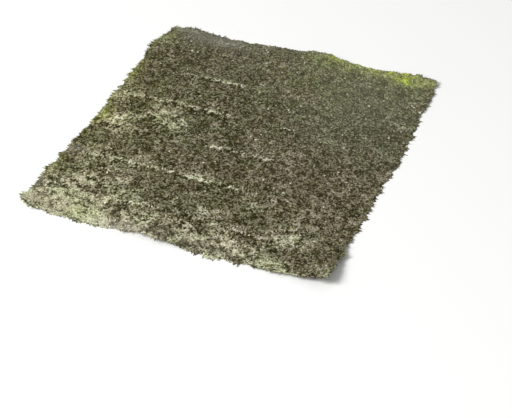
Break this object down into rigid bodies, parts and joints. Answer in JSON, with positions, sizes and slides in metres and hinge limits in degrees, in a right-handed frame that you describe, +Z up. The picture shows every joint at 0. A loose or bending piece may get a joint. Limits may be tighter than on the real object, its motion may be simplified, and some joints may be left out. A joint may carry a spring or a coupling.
{
  "type": "nori sheet",
  "caption": "Thin rectangular sheet of dried seaweed with rough felted faces, ragged wavy edges and lifted corners, used to wrap rice or to be cut into strips.",
  "frame": {"origin": "on the surface the sheet lies on, under the middle of its bounding box", "axes": "+Z up through the thin side, +X along the short edges, +Y along the long edges from the front edge to the back edge"},
  "size_m": [0.1932, 0.2124, 0.0076],
  "materials": {
    "dried_seaweed": "matte"
  },
  "bodies": {
    "root": {"nori_sheet": "dried_seaweed"}
  },
  "joints": []
}
